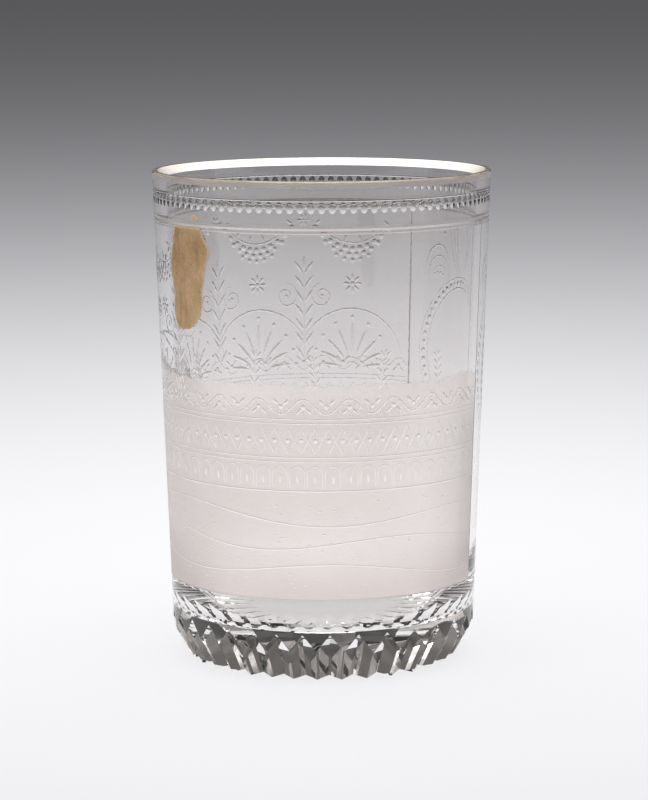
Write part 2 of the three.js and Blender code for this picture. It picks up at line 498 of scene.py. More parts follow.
def ball_cutter():
    z = HEIGHT - BALL_DROP
    shape = bmesh.new()
    bmesh.ops.create_uvsphere(shape, u_segments=24, v_segments=16, radius=BALL_RADIUS)
    bmesh.ops.scale(shape, vec=(1, 1, BALL_STRETCH), verts=shape.verts)
    move = (0, BALL_DEPTH - BALL_RADIUS - wall_radius(z), z)
    bmesh.ops.translate(shape, vec=move, verts=shape.verts)
    mesh = bpy.data.meshes.new("ball_cutter")
    shape.to_mesh(mesh)
    shape.free()
    return mesh


def ring_groove_cutter(z, width):
    edge = wall_radius(z) - width / 2 * GROOVE_SLOPE
    spread = OVERRUN / GROOVE_SLOPE
    back = edge + OVERRUN
    return lathe("groove_cutter", [(edge, z), (back, z - spread), (back, z + spread)], closed_ring=True)


# Engraving, drawn flat in mm

def across(angle):
    """How far across the flat drawing a place is that lies so many degrees round from the front."""
    return radians(angle) * ROLL_RADIUS


MAIN_START = across(PANEL_BORDERS[1] - 360)
MAIN_END = across(PANEL_BORDERS[0])
SIDE_MIDDLE = across(SIDE_ANGLE)


class Drawing:
    """The lines, leaf cuts and small round cuts of an engraving. True holds the frosted ground's lines."""

    def __init__(self):
        self.lines = {True: [], False: []}
        self.leaves = []
        self.dots = []

    def line(self, points, width, closed=False, even=False):
        points = close_points(points + points[:1] if closed else points)
        if closed:
            points.pop()
        last = len(points) - 1
        if closed or even:
            widths = [width] * len(points)
        else:
            swell = [sqrt(abs(sin(pi * i / last))) for i in range(len(points))]
            widths = [width * (0.12 + 0.88 * full) for full in swell]
        for sunk, run in itertools.groupby(zip(points, widths), lambda place: on_ground(*place[0])):
            run = list(run)
            if len(run) > 1:
                self.lines[sunk].append((*zip(*run), closed and len(run) == len(points)))

    def leaf(self, u, v, turn, length, width):
        self.leaves.append((u, v, turn, length, width))

    def dot(self, u, v, size):
        self.dots.append((u, v, 0.0, size, size))


def close_points(points, apart=0.8):
    """The line through the points, with more points in its long stretches, so that it rolls well."""
    close = [points[0]]
    for (u1, v1), (u2, v2) in zip(points, points[1:]):
        steps = max(1, round(hypot(u2 - u1, v2 - v1) / apart))
        close += [(u1 + (u2 - u1) * i / steps, v1 + (v2 - v1) * i / steps) for i in range(1, steps + 1)]
    return close


def arc(u, v, wide, high, start, end, steps=14):
    """Points on part of an oval, from one angle to another, in degrees."""
    angles = [radians(start + (end - start) * i / steps) for i in range(steps + 1)]
    return [(u + wide * cos(a), v + high * sin(a)) for a in angles]


def fan(art, u, v, size, petals=9):
    """A half-round spray of long petals over a small boss."""
    for i in range(petals):
        angle = radians(14 + 152 * i / (petals - 1))
        reach = size * (1 - 0.22 * abs(cos(angle)))
        bend = 0.16 * cos(angle)
        shares = [0.3 + 0.62 * k / 6 for k in range(7)]
        petal = [polar(u, v, reach * along, angle - bend * (along - 0.3)) for along in shares]
        art.line(petal, size * 0.085)
        art.dot(*polar(u, v, reach * 1.04, angle - bend * 0.75), size * 0.085)
    art.line(arc(u, v, size * 0.24, size * 0.24, 0, 180), 0.5)
    art.line(arc(u, v, size * 0.15, size * 0.15, 0, 180, 8), 0.5)
    art.line(arc(u, v, size * 1.17, size * 1.2, 6, 174, 26), 0.55)


def laurel(art, u, v, turn, length, pairs, width=0.9):
    """A straight sprig with paired leaves."""
    ahead, aside = cos(turn), sin(turn)
    art.line([(u + ahead * length * k / 5, v + aside * length * k / 5) for k in range(6)], 0.4)
    for i in range(pairs):
        along = length * (i + 0.6) / pairs
        size = length / pairs * 1.15
        for side in (1, -1):
            lean = turn + side * 0.62
            leaf_u = u + ahead * along + cos(lean) * size * 0.55
            leaf_v = v + aside * along + sin(lean) * size * 0.55
            art.leaf(leaf_u, leaf_v, lean, size, width)
    art.leaf(u + ahead * length * 1.06, v + aside * length * 1.06, turn, length / pairs * 1.1, width)


def swag(art, start, end, v, sag, berries):
    """A hanging garland: a bowed stem with berries in three rows, fullest at its middle."""
    def bow(t, drop=0.0):
        return start + (end - start) * t, v - (sag + drop) * 4 * t * (1 - t)

    art.line([bow(i / 14) for i in range(15)], 0.45)
    for row, offset in enumerate((1.5, 3.0, 4.4)):
        count = berries - 3 * row
        for i in range(count):
            t = 0.5 + (i / (count - 1) - 0.5) * (0.86 - 0.24 * row)
            u, height = bow(t, offset * 0.6)
            art.dot(u, height - offset * 0.35, 1.45 - 0.16 * row)
    for i in range(6):
        t = 0.5 + (i / 5 - 0.5) * 0.8
        u, height = bow(t)
        art.leaf(u, height + 1.1, pi / 2 + (t - 0.5) * 2.4, 2.0, 0.75)


def rosette(art, u, v, size, petals=8):
    for i in range(petals):
        angle = tau * i / petals
        art.leaf(*polar(u, v, size * 0.6, angle), angle, size * 0.75, size * 0.34)
    art.dot(u, v, size * 0.42)


def spiral(u, v, size, side, turns=1.6, steps=26):
    """Points that wind inwards from the top, to the left or to the right."""
    shares = [i / steps for i in range(steps + 1)]
    return [polar(u, v, size * (1 - 0.86 * t), pi / 2 + side * tau * turns * t) for t in shares]


def frieze(art):
    """Fans between laurel sprigs with scrolls, under garlands, on the back and the left."""
    half = across(FAN_STEP) / 2
    for i in range(FAN_COUNT):
        middle = across(FIRST_FAN + FAN_STEP * i)
        fan(art, middle, FRIEZE_FOOT + 1.5, FAN_SIZE)
        swag(art, middle - half + 1.4, middle + half - 1.4, GARLAND_HEIGHT, GARLAND_SAG, 11)
        rosette(art, middle, FRIEZE_FOOT + 22.5, 2.6)
        gap = middle + half
        laurel(art, gap, FRIEZE_FOOT + 2, pi / 2, SPRIG_LENGTH, 7)
        rosette(art, gap, GARLAND_HEIGHT - 0.6, 1.8, 6)
        for side in (1, -1):
            art.line(spiral(gap + side * 4.6, FRIEZE_FOOT + 19.5, 3.2, side), 0.5)
            art.dot(gap + side * 4.6, FRIEZE_FOOT + 19.5, 0.9)


def even_steps(start, end, pitch):
    """The whole number of steps that comes nearest to the pitch, and the pitch that they have."""
    count = round((end - start) / pitch)
    return count, (end - start) / count


def running_scroll(art, start, end, v, height, pitch):
    """A wave of scrolls, each with two leaves and a small round cut in its bow."""
    count, pitch = even_steps(start, end, pitch)
    eighths = [i / 8 for i in range(count * 8 + 1)]
    art.line([(start + pitch * t, v + height / 2 * sin(pi * t)) for t in eighths], 0.36, even=True)
    for i in range(count):
        side = 1 if i % 2 == 0 else -1
        u = start + pitch * (i + 0.5)
        art.dot(u, v - side * height * 0.02, 1.1)
        art.leaf(u - pitch * 0.2, v - side * height * 0.3, side * 0.7, 2.0, 0.7)
        art.leaf(u + pitch * 0.24, v - side * height * 0.3, pi - side * 0.7, 2.0, 0.7)


def lozenges(art, start, end, v, height, pitch):
    """Two crossing zigzags with a small round cut in each lozenge."""
    count, pitch = even_steps(start, end, pitch)
    for side in (1, -1):
        rise = side * height / 2
        points = [(start + pitch * i, v + (rise if i % 2 else -rise)) for i in range(count + 1)]
        art.line(points, 0.3, even=True)
    for i in range(1, count):
        art.dot(start + pitch * i, v, 1.05)


def arcade(art, start, end, v, height, pitch):
    """A row of small round arches on thin posts."""
    count, pitch = even_steps(start, end, pitch)
    bow = pitch * 0.42
    for i in range(count):
        u = start + pitch * (i + 0.5)
        points = arc(u, v + height - bow, bow, bow, 180, 0, 8)
        art.line([(points[0][0], v)] + points + [(points[-1][0], v)], 0.28, even=True)
        art.leaf(u, v + height * 0.42, pi / 2, height * 0.5, 0.6)


def rule(art, v, start, end, width=0.3):
    count = max(2, round((end - start) / 6))
    art.line([(start + (end - start) * i / count, v) for i in range(count + 1)], width, even=True)


def bands(art, start, end):
    """Rows of small ornament across the frosted ground."""
    running_scroll(art, start, end, SCROLL_HEIGHT, 3.4, 5.2)
    for v in RULE_HEIGHTS[:2]:
        rule(art, v, start, end)
    lozenges(art, start, end, LOZENGE_HEIGHT, 5.6, 3.1)
    for v in RULE_HEIGHTS[2:]:
        rule(art, v, start, end)
    arcade(art, start, end, ARCADE_FOOT, 4.8, 4.0)
    rule(art, ARCADE_FOOT - 0.8, start, end, 0.4)


def ground_waves(art, start, end, chance):
    """Long low waves over the plain ground, with short bright nicks between them."""
    for i, v in enumerate(WAVE_HEIGHTS):
        points = []
        for t in (k / 40 for k in range(41)):
            wave = 1.7 * sin(tau * (1.35 * t + 0.23 * i))
            points.append((start + (end - start) * t, v + wave - 2.2 * t))
        art.line(points, 0.4)
    for _ in range(NICK_COUNT):
        art.leaf(chance.uniform(start + 1, end - 1), chance.uniform(21.5, 42), chance.uniform(-0.25, 0.25),
                 chance.uniform(0.7, 1.2), chance.uniform(0.26, 0.4))


def medallion(art):
    """A beaded oval between two thin lines, with ribbon loops and hanging tails above it."""
    for wide, high, width in ((19.4, 18.8, 0.4), (16.6, 16.4, 0.45)):
        art.line(arc(SIDE_MIDDLE, OVAL_MIDDLE, wide, high, 0, 360 - 360 / 96, 95), width, closed=True)
    for i in range(BEAD_COUNT):
        angle = tau * i / BEAD_COUNT
        art.dot(SIDE_MIDDLE + 18 * cos(angle), OVAL_MIDDLE + 17.6 * sin(angle), 1.35)
    for side in (1, -1):
        u = SIDE_MIDDLE + side * across(19.6)
        for k, (wide, high) in enumerate(((5.2, 7.6), (4.2, 5.0), (2.9, 2.6))):
            art.line(arc(u - side * 0.25 * k, LOOP_FOOT, wide, high, 186, -6, 18), 0.5 - 0.06 * k)
        for k in range(4):
            angle = radians(58 + 21 * k)
            art.dot(u + 3.4 * cos(angle), LOOP_BEAD_HEIGHT + 3.2 * sin(angle), 0.75)
        art.dot(SIDE_MIDDLE + side * across(16.4), 96, 0.95)
        for k in range(3):
            top = SIDE_MIDDLE + side * (across(6.5) + 1.9 * k)
            curl = side * (0.9 + 0.3 * k)
            tail = [(top - curl * (t / 9) ** 2 * 3, TAIL_TOP - 1.55 * t) for t in range(10)]
            art.line(tail, 0.55 - 0.08 * k)


def front_sprigs(art):
    """Small sprigs that stand on the frosted ground, where the wall above is left clear."""
    for angle, lean, length in FRONT_SPRIGS:
        laurel(art, across(angle), FROST_TOP - 0.5, pi / 2 + lean, length, 4, 0.7)


def engraving():
    art = Drawing()
    frieze(art)
    bands(art, MAIN_START + 0.6, MAIN_END - 0.6)
    ground_waves(art, across(-85), MAIN_END - 1, random.Random(7))
    medallion(art)
    front_sprigs(art)
    return art


def frost_top(u):
    """The upper edge of the frosted ground: higher on the left, low at the back, in small scallops."""
    angle = degrees(u / ROLL_RADIUS)
    rise = min(RISE_FROM - FALL_FROM, max(0, RISE_FROM - angle)) * RISE_SLOPE
    fall = min(1, max(0, FALL_FROM - angle) / FALL_SPAN) * FALL_HEIGHT
    return FROST_TOP + rise - fall + SCALLOP_HEIGHT * abs(sin(radians(angle) * SCALLOP_WAVES))


def on_ground(u, v):
    """Whether a place of the flat drawing lies on the frosted ground."""
    return MAIN_START < u < MAIN_END and PANEL_FOOT_HEIGHT / MM < v < frost_top(u)


def frost_block():
    """The block that grinds the frosted ground, one column for each facet of the wall."""
    start, end = PANEL_BORDERS[1] - 360, PANEL_BORDERS[0]
    count = round((end - start) / (360 / CUP_STEPS))
    low = PANEL_FOOT_HEIGHT / MM
    points, faces = [], []
    for i in range(count + 1):
        u = across(start + (end - start) * i / count)
        for k in range(FROST_ROWS + 1):
            v = low + (frost_top(u) - low) * k / FROST_ROWS
            points += [(u * MM, v * MM, -FROST_DEPTH * MM), (u * MM, v * MM, MM)]

    def face(*corners):
        faces.append([2 * (column * (FROST_ROWS + 1) + row) + outer for column, row, outer in corners])

    for i in range(count):
        for k in range(FROST_ROWS):
            for outer in (0, 1):
                face((i, k, outer), (i + 1, k, outer), (i + 1, k + 1, outer), (i, k + 1, outer))
        for k in (0, FROST_ROWS):
            face((i, k, 0), (i, k, 1), (i + 1, k, 1), (i + 1, k, 0))
    for i in (0, count):
        for k in range(FROST_ROWS):
            face((i, k, 0), (i, k + 1, 0), (i, k + 1, 1), (i, k, 1))
    return closed_mesh("frost_block", points, faces)


def leaf_cutter():
    """A long V with pointed ends, 1 long, 1 wide and 1 deep at its middle before it is sized."""
    stations = [(-0.5, 0), (-0.36, 0.62), (-0.12, 0.98), (0.12, 0.98), (0.36, 0.62), (0.5, 0)]
    rise = 0.6
    points, faces = [], []
    for x, full in stations:
        half = full / 2 + rise / 2
        points += [(x, 0, -full), (x, half, rise), (x, -half, rise)]
    last = 3 * len(stations) - 3
    for a in range(0, last, 3):
        b = a + 3
        faces += [(a, b, b + 1, a + 1), (a + 1, b + 1, b + 2, a + 2), (a + 2, b + 2, b, a)]
    faces += [(0, 1, 2), (last, last + 2, last + 1)]
    return closed_mesh("leaf_cutter", points, faces)


def dot_cutter(sides=10):
    """A small round bowl, 1 wide and 1 deep before it is sized."""
    points, faces = [(0, 0, -1)], []
    for radius, depth in ((0.27, -0.78), (0.43, -0.36), (0.5, 0), (0.62, 0.8)):
        points += [(*polar(0, 0, radius, tau * i / sides), depth) for i in range(sides)]
    for i in range(sides):
        j = (i + 1) % sides
        faces.append((0, 1 + j, 1 + i))
        for ring in range(3):
            a, b = 1 + ring * sides, 1 + (ring + 1) * sides
            faces.append((a + i, a + j, b + j, b + i))
    faces.append([1 + 3 * sides + i for i in range(sides)])
    return closed_mesh("dot_cutter", points, faces)


def point_cloud(name, marks, depth):
    """A point for each mark. On the clear glass, the marks are shallower."""
    points = [(u * MM, v * MM, -FROST_DEPTH * MM * on_ground(u, v)) for u, v, *_ in marks]
    mesh = mesh_from(name, points, [])
    turns = mesh.attributes.new("turn", "FLOAT", "POINT")
    sizes = mesh.attributes.new("size", "FLOAT_VECTOR", "POINT")
    for i, (u, v, turn, length, width) in enumerate(marks):
        share = 1 if on_ground(u, v) else CLEAR_SHARE
        turns.data[i].value = turn
        sizes.data[i].vector = (length * MM, width * MM, width * depth * share * MM)
    return mesh


def poly_curve(name, lines):
    """A curve with a straight-stepped stretch for each line of places and radii."""
    curves = bpy.data.curves.new(name, "CURVE")
    curves.dimensions = "3D"
    for places, radii, closed in lines:
        spline = curves.splines.new("POLY")
        spline.points.add(len(places) - 1)
        for point, place, radius in zip(spline.points, places, radii):
            point.co = (*place, 1)
            point.radius = radius
        spline.use_cyclic_u = closed
    return curves


def line_curves(name, lines, level):
    return poly_curve(name, [(
        [(u * MM, v * MM, level * MM) for u, v in points], [width * MM for width in widths], closed,
    ) for points, widths, closed in lines])


def line_section(name, slope):
    """The V of an engraved line, 1 wide at the wall: its point looks into the glass."""
    rise = CUT_RISE * slope / CUT_SLOPE
    half = 0.5 * (slope / 2 + rise) / (slope / 2)
    return poly_curve(name, [([(0, slope / 2, 0), (-half, -rise, 0), (half, -rise, 0)], [1, 1, 1], True)])


# Materials

GRAIN_SCALES = ("Grain Scale", "Streak Scale", "Cloud Scale")
TONE_SPREAD = (0.36, 0.64)
# Painted shade: the dark colour put on the faces of the cuts that look down, where light from above misses
# them
DOWN_SHADE_COLOUR = (0.28, 0.25, 0.24, 1)

# The frosted ground is finer towards its top, and painted shade darkens it near its top and at its foot:
# each fade has the heights at which it starts and ends, its tint of painted shade, and how much finer the
# ground gets
FROST_FINENESS_AND_SHADE = (
    (54 * MM, 67 * MM, (0.84, 0.825, 0.82), 0.75),
    (32 * MM, 21 * MM, (0.83, 0.785, 0.775), 0),
)


def object_place(tree):
    return new_node(tree, "ShaderNodeTexCoord").outputs["Object"]


def axis_of(tree, vector, axis):
    return new_node(tree, "ShaderNodeSeparateXYZ", {0: vector}).outputs[axis]


def stretched(tree, place, factors):
    return calc(tree, "MULTIPLY", place, factors, kind="ShaderNodeVectorMath")


def noise_at(tree, place, scale, detail, roughness=0.5, distortion=0):
    return add(tree, "ShaderNodeTexNoise", {
        "Vector": place, "Scale": scale, "Detail": detail, "Roughness": roughness, "Distortion": distortion,
    })


def remap(tree, value, start, end, first=0, last=1):
    """The first result where the value is at the start, the last one at the end, and evenly between."""
    return add(tree, "ShaderNodeMapRange", {0: value, 1: start, 2: end, 3: first, 4: last})


def blend(tree, share, base, other, **settings):
    """Mixes a share of the other colour into the base colour."""
    mix = new_node(tree, "ShaderNodeMix", {0: share, 6: base, 7: other}, data_type="RGBA", **settings)
    return mix.outputs[2]


def roughen(tree, surface, strength, distance, height):
    relief = add(tree, "ShaderNodeBump", {"Strength": strength, "Distance": distance, "Height": height})
    tree.links.new(relief, surface.inputs["Normal"])


def grain_group():
    """Fine ground grain with faint level streaks: a tone that changes over the surface, and a height."""
    tree, given, result = new_tree("ground_grain", "ShaderNodeTree", [("Float", *GRAIN_SCALES)],
                                   [("Float", "Tone", "Height")])
    place = object_place(tree)
    grain = noise_at(tree, place, given["Grain Scale"], 2, 0.6)
    streak = noise_at(tree, stretched(tree, place, (1, 1, 9)), given["Streak Scale"], 3, 0.65)
    cloud = noise_at(tree, place, given["Cloud Scale"], 2)
    fine = calc(tree, "ADD", calc(tree, "MULTIPLY", grain, 0.4), calc(tree, "MULTIPLY", streak, 0.35))
    tree.links.new(calc(tree, "MULTIPLY_ADD", cloud, 0.25, fine), result["Tone"])
    tree.links.new(calc(tree, "MULTIPLY_ADD", streak, 0.5, grain), result["Height"])
    return tree


def new_material(name):
    material = bpy.data.materials.new(name)
    material.use_nodes = True
    tree = material.node_tree
    return material, tree, tree.nodes["Principled BSDF"]


def looks_down(tree):
    """1 where a face of the glass looks down, 0 where it is upright or looks up."""
    surface = new_node(tree, "ShaderNodeNewGeometry").outputs
    outwards = calc(tree, "MULTIPLY_ADD", surface["Backfacing"], -2, 1)
    return remap(tree, calc(tree, "MULTIPLY", axis_of(tree, surface["Normal"], "Z"), outwards), 0, -0.3)


def grained_glass(group, name, scales, dark, light, roughness, transmission, bump, grime=0, fades=()):
    """Glass whose colour, roughness and fine relief follow the grain. Painted shade darkens what looks
    down, and the fades darken it by height with painted shade.
    """
    material, tree, glass = new_material(name)
    grain = new_node(tree, "ShaderNodeGroup", dict(zip(GRAIN_SCALES, scales)), node_tree=group).outputs
    tone = remap(tree, grain["Tone"], *TONE_SPREAD)
    colour = blend(tree, tone, (*dark, 1), (*light, 1))
    if grime:
        # Painted shade on the faces that look down
        colour = blend(tree, calc(tree, "MULTIPLY", looks_down(tree), grime), colour, DOWN_SHADE_COLOUR)
    rough = remap(tree, tone, 0, 1, *roughness)
    # Each fade darkens the colour by height with painted shade, and makes the ground finer
    for start, end, tint, finer in fades:
        share = remap(tree, axis_of(tree, object_place(tree), "Z"), start, end)
        colour = blend(tree, share, colour, (*tint, 1), blend_type="MULTIPLY")
        rough = calc(tree, "MULTIPLY", rough, calc(tree, "MULTIPLY_ADD", share, -finer, 1))
    tree.links.new(colour, glass.inputs["Base Color"])
    tree.links.new(rough, glass.inputs["Roughness"])
    roughen(tree, glass, *bump, grain["Height"])
    glass.inputs["Transmission Weight"].default_value = transmission
    glass.inputs["IOR"].default_value = 1.5
    return material


def glass_finishes():
    """The glass surfaces, each with its grain, two tones, roughness, transmission and relief."""
    finish = partial(grained_glass, grain_group())
    polished, worn, matte, ground, frosted = (
        (900, 40, 25), (1500, 60, 45), (2600, 300, 60), (3000, 400, 60), (3200, 420, 28))
    return {
        "clear": finish("clear_glass", polished, (0.955, 0.936, 0.927), (0.975, 0.958, 0.95),
                        (0.0, 0.012), 1.0, (0.08, 0.00003)),
        "rim": finish("rim_glass", worn, (0.62, 0.47, 0.32), (0.86, 0.74, 0.60),
                      (0.08, 0.2), 0.7, (0.2, 0.0001)),
        # The bevel's pale, nearly opaque cream is painted reflection of the light caught inside the thick
        # edge
        "bevel": finish("rim_bevel", worn, (1.0, 0.92, 0.84), (1.0, 0.965, 0.92),
                        (0.06, 0.16), 0.12, (0.2, 0.0001)),
        "balls": finish("ball_cut", worn, (0.66, 0.65, 0.655), (0.78, 0.765, 0.765),
                        (0.12, 0.26), 0.96, (0.15, 0.00005)),
        "matte": finish("matte_cut", matte, (0.50, 0.47, 0.455), (0.62, 0.59, 0.575),
                        (0.35, 0.55), 0.55, (0.3, 0.0001)),
        # The engraved and soft cuts take painted shade on their faces that look down
        "engraved": finish("engraved_cut", ground, (0.90, 0.87, 0.86), (0.98, 0.96, 0.95),
                           (0.4, 0.55), 0.45, (0.3, 0.0001), grime=0.5),
        "soft": finish("soft_cut", ground, (0.93, 0.905, 0.89), (1.0, 0.98, 0.965),
                       (0.08, 0.18), 0.92, (0.3, 0.0001), grime=0.2),
        "frost": finish("frosted_ground", frosted, (0.865, 0.80, 0.775), (0.95, 0.895, 0.868),
                        (0.45, 0.6), 0.58, (0.4, 0.0001), fades=FROST_FINENESS_AND_SHADE),
    }


def aged_paper(name, dark, light, core):
    """Old label paper: clouded, stained and fibrous, paler along its torn edge."""
    material, tree, paper = new_material(name)
    place = object_place(tree)
    cloud = noise_at(tree, place, 90, 5, 0.62)
    fibre = noise_at(tree, place, 1400, 3, distortion=1.5)
    blot = noise_at(tree, stretched(tree, place, (1, 1, 0.16)), 420, 2)
    tone = calc(tree, "MULTIPLY_ADD", fibre, 0.35, calc(tree, "MULTIPLY", cloud, 0.65))
    colour = blend(tree, remap(tree, tone, *TONE_SPREAD), (*dark, 1), (*light, 1))
    stain = calc(tree, "MULTIPLY", remap(tree, blot, 0.52, 0.68), 0.35)
    colour = blend(tree, stain, colour, (*[c * 0.55 for c in dark], 1))
    edge = new_node(tree, "ShaderNodeAttribute", attribute_name="torn").outputs["Fac"]
    ragged = calc(tree, "MULTIPLY_ADD", fibre, 0.8, calc(tree, "SUBTRACT", edge, 0.5))
    colour = blend(tree, remap(tree, ragged, 0.25, 0.75), colour, (*core, 1))
    tree.links.new(colour, paper.inputs["Base Color"])
    roughen(tree, paper, 0.6, 0.0001, calc(tree, "ADD", fibre, cloud))
    paper.inputs["Roughness"].default_value = 0.82
    paper.inputs["Specular IOR Level"].default_value = 0.25
    return material


# Glass body

def put(piece, tree, values):
    """Puts a cut on the piece, with a value for each named input of its tree."""
    modifier = piece.modifiers.new("cut", "NODES")
    modifier.node_group = tree
    for item in tree.interface.items_tree:
        if item.in_out == "INPUT" and item.name in values:
            modifier[item.identifier] = values[item.name]


def settle(piece):
    """Turns a piece's live modifiers into its plain mesh."""
    bpy.context.view_layer.update()
    seen = piece.evaluated_get(bpy.context.evaluated_depsgraph_get())
    mesh = bpy.data.meshes.new_from_object(seen)
    piece.modifiers.clear()
    piece.data = mesh
    for name in ("fresh", "turn", "size"):
        if name in mesh.attributes:
            mesh.attributes.remove(mesh.attributes[name])


def ring_cuts(body, finishes, helper):
    ring = ring_cut_tree()

    def round_cut(mesh, finish, count=1, first=0.0, drift=0.0):
        put(body, ring, {
            "Cutter": helper(mesh), "Finish": finishes[finish], "Count": count, "First Angle": first,
            "Drift": drift, "Drift Waves": float(DRIFT_WAVES), "Drift Angle": DRIFT_PHASE,
        })

    def groove(z, width, finish="matte"):
        round_cut(ring_groove_cutter(z, width), finish)

    round_cut(notch_cutter(), "clear", NOTCH_COUNT, NOTCH_PHASE, HAND_DRIFT)
    round_cut(undercut_cutter(), "clear", NOTCH_COUNT, NOTCH_PHASE, HAND_DRIFT)
    groove(HEIGHT - BALL_DROP, MITRE_WIDTH)
    round_cut(ball_cutter(), "balls", BALL_COUNT)
    groove(HEIGHT - UPPER_LINE_DROP, FINE_LINE_WIDTH, "clear")
    groove(HEIGHT - BAND_DROP, BAND_WIDTH)
    groove(HEIGHT - PANEL_LINE_DROP, PANEL_LINE_WIDTH)
    groove(PANEL_FOOT_HEIGHT, PANEL_LINE_WIDTH)
    for angle in PANEL_BORDERS:
        round_cut(border_cutter(), "matte", 1, radians(angle))


def engraved_cuts(body, finishes, helper):
    roll = roll_tree()
    sizes = dict(zip(WALL_SIZES, (ROLL_RADIUS * MM, RIM_RADIUS, HEIGHT, TAPER)))
    art = engraving()
    put(body, ground_tree(roll), {**sizes, "Block": helper(frost_block()), "Finish": finishes["frost"]})
    tools = {
        "Ground Lines": line_curves("ground_lines", art.lines[True], -FROST_DEPTH),
        "Ground Section": line_section("ground_section", CUT_SLOPE),
        "Clear Lines": line_curves("clear_lines", art.lines[False], 0),
        "Clear Section": line_section("clear_section", CUT_SLOPE * CLEAR_SHARE),
        "Leaf Places": point_cloud("leaf_places", art.leaves, LEAF_DEPTH),
        "Leaf": leaf_cutter(),
        "Dot Places": point_cloud("dot_places", art.dots, DOT_DEPTH),
        "Dot": dot_cutter(),
    }
    placed = {name: helper(data) for name, data in tools.items()}
    put(body, engraving_tree(roll), {**sizes, **placed, "Finish": finishes["engraved"]})


def glass_body():
    finishes = glass_finishes()
    blank = lathe("beaker_body", cup_profile())
    for finish in finishes.values():
        blank.materials.append(finish)
    body = new_object("beaker_body", blank)
    helpers = []

    def helper(data):
        helpers.append(new_object(data.name, data))
        return helpers[-1]

    ring_cuts(body, finishes, helper)
    engraved_cuts(body, finishes, helper)
    settle(body)
    for tool in helpers:
        bpy.data.objects.remove(tool)
    colour_rim(body.data)
    soften_clear_cuts(body.data)
    smooth_glass(body.data)
    return body


def colour_rim(mesh):
    """The rim's arris and flat take the tint of the thick edge, and its bevel is slightly worn and a pale,
    nearly opaque cream: painted reflection of the light caught inside the edge.
    """
    edge, bevel = mesh.materials.find("rim_glass"), mesh.materials.find("rim_bevel")
    for face in mesh.polygons:
        z, radius = face.center.z, hypot(face.center.x, face.center.y)
        if z > HEIGHT - RIM_ARRIS and radius > BEVEL_RADIUS:
            face.material_index = edge
        elif z > HEIGHT - RIM_BEVEL_HEIGHT and radius < BEVEL_RADIUS:
            face.material_index = bevel


def soften_clear_cuts(mesh):
    """The engraving of the clear glass is finer ground than that of the frosted ground."""
    cut, soft = mesh.materials.find("engraved_cut"), mesh.materials.find("soft_cut")
    for face in mesh.polygons:
        if face.material_index == cut:
            x, y, z = face.center / MM
            u = atan2(x, -y) * ROLL_RADIUS
            if u > MAIN_END:
                u -= tau * ROLL_RADIUS
            if not on_ground(u, z):
                face.material_index = soft


def all_values(items, name, width=1, kind=float):
    """One property of all the items of a mesh, with a row for each where it has several values."""
    values = np.empty(len(items) * width, dtype=kind)
    items.foreach_get(name, values)
    return values.reshape(-1, width) if width > 1 else values


def smooth_glass(mesh):
    """Gives the turned surfaces and the ball cuts their true normals. Other facets stay flat."""
    corner = all_values(mesh.loops, "vertex_index", kind=np.int64)
    first = all_values(mesh.polygons, "loop_start", kind=np.int64)
    length = all_values(mesh.polygons, "loop_total", kind=np.int64)
    flat = all_values(mesh.polygons, "normal", 3)
    owner = np.repeat(np.arange(len(first)), length)
    normals = flat[owner]
    x, y, z = all_values(mesh.vertices, "co", 3)[corner].T
    around = np.arctan2(y, x)
    radius = np.hypot(x, y)

    def face_mean(values):
        return np.add.reduceat(values, first) / length

    def smooth(true, distance, where, slack=0.006 * MM, likeness=0.999):
        """Takes the true normals on the faces that lie near the surface and look its way."""
        true = true / np.linalg.norm(true, axis=1)[:, None]
        alike = sum(face_mean(true[:, i]) * flat[:, i] for i in range(3)) > likeness
        near = face_mean(abs(distance)) < slack
        mask = (alike & near & np.logical_and.reduceat(where, first))[owner]
        normals[mask] = true[mask]

    def turned(out, up):
        return np.stack([np.cos(around) * out, np.sin(around) * out, up + 0 * x], 1)

    # The wall and the frosted ground, the inside of the wall, and its rounded corner
    from_wall = radius - wall_radius(z)
    for sunk in (0, FROST_DEPTH * MM):
        smooth(turned(1, -TAPER), from_wall + sunk, z > -1)
    smooth(turned(-1, TAPER), from_wall + WALL, z > CORNER_HEIGHT - 0.01 * MM)
    out, up = (radius - CORNER_MIDDLE) / CORNER_WIDTH, (z - CORNER_HEIGHT) / CORNER_RISE
    bend = (np.hypot(out, up) - 1) * CORNER_RISE
    smooth(turned(-out / CORNER_WIDTH, -up / CORNER_RISE), bend, (up < 0.001) & (out > -0.001), 0.03 * MM)

    # The rim and the grooves, whose facets keep their own slope
    middle = face_mean(np.cos(around)), face_mean(np.sin(around))
    profile = (flat[:, 0] * middle[0] + flat[:, 1] * middle[1])[owner]
    above_foot = (z > PANEL_FOOT_HEIGHT - 1 * MM) & (radius > RIM_RADIUS / 2)
    smooth(turned(profile, flat[owner, 2]), 0 * z, above_foot)

    # The ball cuts
    step = tau / BALL_COUNT
    nearest = np.round((around + pi / 2) / step) * step - pi / 2
    ball_z = HEIGHT - BALL_DROP
    ball_r = wall_radius(ball_z) + BALL_RADIUS - BALL_DEPTH
    from_ball = np.stack([x - ball_r * np.cos(nearest), y - ball_r * np.sin(nearest), z - ball_z], 1)
    reach = np.linalg.norm(from_ball / (1, 1, BALL_STRETCH), axis=1) - BALL_RADIUS
    smooth(-from_ball / (1, 1, BALL_STRETCH ** 2), reach, abs(z - ball_z) < BALL_HEIGHT, 0.02 * MM, 0.985)
    mesh.polygons.foreach_set("use_smooth", np.ones(len(first), dtype=bool))
    mesh.normals_split_custom_set(normals.tolist())


# Paper label

def stretches(outline):
    return zip(outline, outline[1:] + outline[:1])


